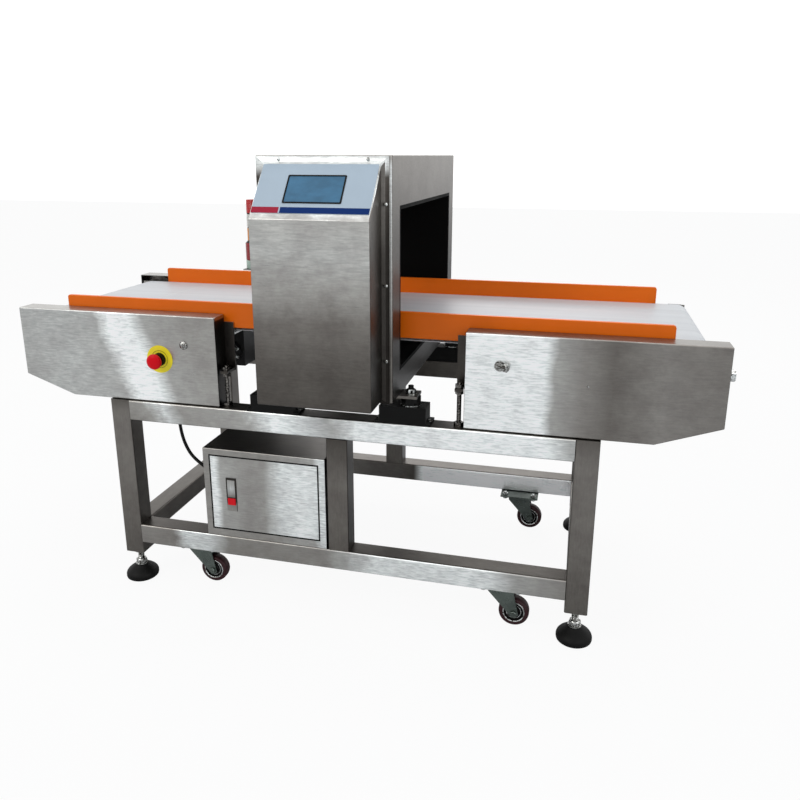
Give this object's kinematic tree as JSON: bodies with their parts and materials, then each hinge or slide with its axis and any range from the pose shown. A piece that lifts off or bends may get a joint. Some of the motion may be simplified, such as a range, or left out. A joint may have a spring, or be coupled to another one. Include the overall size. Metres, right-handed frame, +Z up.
{
  "type": "conveyor metal detector",
  "caption": "Tunnel metal detector head with a sloped operator box over a short flat-belt conveyor, on a welded square-tube stand with casters, levelling feet and a drive cabinet.",
  "frame": {"origin": "on the floor, under the middle of the machine's whole box", "axes": "+X along the belt towards the take-up end, +Y away from the operator, +Z up"},
  "size_m": [1.614, 0.776, 1.051],
  "materials": {
    "frame_stainless": "satin brushed",
    "cover_stainless": "brushed sheet",
    "head_stainless": "fine bead-blasted sheet",
    "control_stainless": "brushed sheet",
    "cabinet_stainless": "brushed sheet",
    "bed_steel": "machined",
    "zinc": "bright zinc plate",
    "wheel": "matte rubber tread",
    "foot_black": "moulded, with a steel stud",
    "orange_guard": "smooth extruded strip",
    "bed_white": "smooth sheet",
    "belt_white": "coated belt",
    "roller_steel": "turned",
    "gear_steel": "oiled",
    "bearing_paint": "painted",
    "motor_paint": "painted casting",
    "liner_black": "moulded",
    "mount_rubber": "moulded, with steel plates",
    "panel_film": "printed film",
    "lamp": "clear tiers",
    "stop_yellow": "moulded",
    "stop_red": "moulded",
    "latch_black": "moulded",
    "latch_red": "moulded",
    "inverter": "moulded",
    "cable_black": "sheathed"
  },
  "bodies": {
    "machine": {"leg_front_left": "frame_stainless", "leg_front_right": "frame_stainless", "leg_rear_left": "frame_stainless", "leg_rear_right": "frame_stainless", "top_rail_front": "frame_stainless", "top_rail_rear": "frame_stainless", "bottom_rails": "frame_stainless", "top_cross_rails": "frame_stainless", "bottom_cross_rails": "frame_stainless", "mid_posts": "frame_stainless", "caster_plates": "zinc", "side_plates_front": "bed_steel", "side_plates_rear": "bed_steel", "support_studs": "bed_steel", "cross_ties": "bed_steel", "guard_front": "orange_guard", "guard_rear": "orange_guard", "bed_plate": "bed_white", "belt": "belt_white", "roller_bearings": "bearing_paint", "tension_screws": "bed_steel", "cover_front_left": "cover_stainless", "cover_front_right": "cover_stainless", "cover_rear_left": "cover_stainless", "gearmotor": "motor_paint", "drive_chain": "gear_steel", "head_housing": "head_stainless", "tunnel_liner": "liner_black", "head_mounts": "mount_rubber", "control_box": "control_stainless", "display_panel": "panel_film", "alarm_lamp": "lamp", "emergency_stop_base": "stop_yellow", "cabinet_shell": "cabinet_stainless", "drive_inverter": "inverter", "cable_glands": "cable_black", "motor_lead": "cable_black"},
    "foot_front_left": {"levelling_foot_front_left": "foot_black"},
    "foot_front_right": {"levelling_foot_front_right": "foot_black"},
    "foot_rear_left": {"levelling_foot_rear_left": "foot_black"},
    "foot_rear_right": {"levelling_foot_rear_right": "foot_black"},
    "fork_front_left": {"caster_fork_front_left": "zinc"},
    "wheel_front_left": {"caster_wheel_front_left": "wheel"},
    "fork_front_right": {"caster_fork_front_right": "zinc"},
    "wheel_front_right": {"caster_wheel_front_right": "wheel"},
    "fork_rear_left": {"caster_fork_rear_left": "zinc"},
    "wheel_rear_left": {"caster_wheel_rear_left": "wheel"},
    "fork_rear_right": {"caster_fork_rear_right": "zinc"},
    "wheel_rear_right": {"caster_wheel_rear_right": "wheel"},
    "drive_roller": {"drive_roller": "roller_steel", "roller_sprocket": "gear_steel"},
    "tail_roller": {"tail_roller": "roller_steel"},
    "snub_left": {"snub_roller_left": "roller_steel"},
    "snub_right": {"snub_roller_right": "roller_steel"},
    "output_shaft": {"output_shaft_and_sprocket": "gear_steel"},
    "stop_button": {"emergency_stop_button": "stop_red"},
    "door": {"cabinet_door": "cabinet_stainless", "latch_housing": "latch_black"},
    "latch_handle": {"latch_handle": "latch_black"},
    "latch_button": {"latch_button": "latch_red"}
  },
  "joints": [
    {"name": "foot_front_left_screw", "type": "slide", "parent": "machine", "child": "foot_front_left", "axis": [0, 0, 1], "range_m": [-0.03, 0.018]},
    {"name": "foot_front_right_screw", "type": "slide", "parent": "machine", "child": "foot_front_right", "axis": [0, 0, 1], "range_m": [-0.03, 0.018]},
    {"name": "foot_rear_left_screw", "type": "slide", "parent": "machine", "child": "foot_rear_left", "axis": [0, 0, 1], "range_m": [-0.03, 0.018]},
    {"name": "foot_rear_right_screw", "type": "slide", "parent": "machine", "child": "foot_rear_right", "axis": [0, 0, 1], "range_m": [-0.03, 0.018]},
    {"name": "caster_front_left_swivel", "type": "hinge", "parent": "machine", "child": "fork_front_left", "pos_m": [-0.384, -0.197, 0.085], "axis": [0, 0, 1], "continuous": true},
    {"name": "caster_front_left_roll", "type": "hinge", "parent": "fork_front_left", "child": "wheel_front_left", "pos_m": [-0.354, -0.197, 0.0355], "axis": [0, 1, 0], "continuous": true},
    {"name": "caster_front_right_swivel", "type": "hinge", "parent": "machine", "child": "fork_front_right", "pos_m": [0.372, -0.197, 0.085], "axis": [0, 0, 1], "continuous": true},
    {"name": "caster_front_right_roll", "type": "hinge", "parent": "fork_front_right", "child": "wheel_front_right", "pos_m": [0.402, -0.197, 0.0355], "axis": [0, 1, 0], "continuous": true},
    {"name": "caster_rear_left_swivel", "type": "hinge", "parent": "machine", "child": "fork_rear_left", "pos_m": [-0.384, 0.283, 0.085], "axis": [0, 0, 1], "continuous": true},
    {"name": "caster_rear_left_roll", "type": "hinge", "parent": "fork_rear_left", "child": "wheel_rear_left", "pos_m": [-0.354, 0.283, 0.0355], "axis": [0, 1, 0], "continuous": true},
    {"name": "caster_rear_right_swivel", "type": "hinge", "parent": "machine", "child": "fork_rear_right", "pos_m": [0.372, 0.283, 0.085], "axis": [0, 0, 1], "continuous": true},
    {"name": "caster_rear_right_roll", "type": "hinge", "parent": "fork_rear_right", "child": "wheel_rear_right", "pos_m": [0.402, 0.283, 0.0355], "axis": [0, 1, 0], "continuous": true},
    {"name": "drive_roller_turn", "type": "hinge", "parent": "machine", "child": "drive_roller", "pos_m": [-0.756, 0.043, 0.653], "axis": [0, 1, 0], "continuous": true},
    {"name": "tail_roller_turn", "type": "hinge", "parent": "machine", "child": "tail_roller", "pos_m": [0.744, 0.043, 0.653], "axis": [0, 1, 0], "continuous": true},
    {"name": "snub_left_turn", "type": "hinge", "parent": "machine", "child": "snub_left", "pos_m": [-0.306, 0.043, 0.643], "axis": [0, 1, 0], "continuous": true},
    {"name": "snub_right_turn", "type": "hinge", "parent": "machine", "child": "snub_right", "pos_m": [0.294, 0.043, 0.643], "axis": [0, 1, 0], "continuous": true},
    {"name": "output_shaft_turn", "type": "hinge", "parent": "machine", "child": "output_shaft", "pos_m": [-0.43, 0.043, 0.52], "axis": [0, 1, 0], "continuous": true},
    {"name": "emergency_stop_press", "type": "slide", "parent": "machine", "child": "stop_button", "axis": [0, 1, 0], "range_m": [0, 0.005], "stiffness_N_per_m": 2500},
    {"name": "cabinet_door_swing", "type": "hinge", "parent": "machine", "child": "door", "pos_m": [-0.0575, -0.2435, 0.265], "axis": [0, 0, 1], "range_deg": [0, 110]},
    {"name": "latch_handle_lift", "type": "hinge", "parent": "door", "child": "latch_handle", "pos_m": [-0.271, -0.2465, 0.304], "axis": [-1, 0, 0], "range_deg": [0, 45]},
    {"name": "latch_button_press", "type": "slide", "parent": "door", "child": "latch_button", "axis": [0, 1, 0], "range_m": [0, 0.003], "stiffness_N_per_m": 800}
  ],
  "couplings": [
    {"joint": "tail_roller_turn", "follows": "drive_roller_turn", "ratio": 1},
    {"joint": "snub_left_turn", "follows": "drive_roller_turn", "ratio": -2.2308},
    {"joint": "snub_right_turn", "follows": "drive_roller_turn", "ratio": -2.2308},
    {"joint": "output_shaft_turn", "follows": "drive_roller_turn", "ratio": 1.5455}
  ]
}
